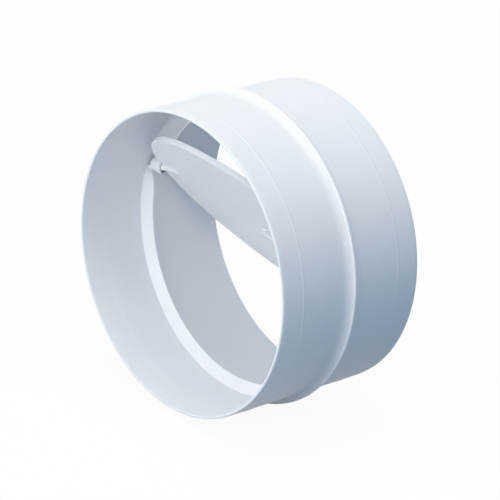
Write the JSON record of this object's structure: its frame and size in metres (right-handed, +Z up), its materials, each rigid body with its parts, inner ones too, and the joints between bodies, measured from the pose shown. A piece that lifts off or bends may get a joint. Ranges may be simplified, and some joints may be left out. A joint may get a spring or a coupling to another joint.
{
  "type": "duct backdraft damper",
  "caption": "Round in-line duct connector with a raised stop bead and a gravity-closed swinging flap that lets air pass one way only.",
  "frame": {"origin": "centre of the inlet spigot at the stop plane, where a duct pushed on to the inlet spigot meets the bead", "axes": "+Y along the duct axis in the direction of the air flow, +Z up, X along the level hinge line"},
  "size_m": [0.1548, 0.1031, 0.1548],
  "materials": {
    "casing_plastic": "white moulded plastic with a fine satin surface",
    "flap_plastic": "white moulded plastic with a fine satin surface"
  },
  "bodies": {
    "casing": {"duct_body": "casing_plastic"},
    "flap": {"flap": "flap_plastic"}
  },
  "joints": [
    {"name": "flap_hinge", "type": "hinge", "parent": "casing", "child": "flap", "pos_m": [0, 0.0009, 0.019], "axis": [1, 0, 0], "range_deg": [-44.3, 40.7]}
  ]
}
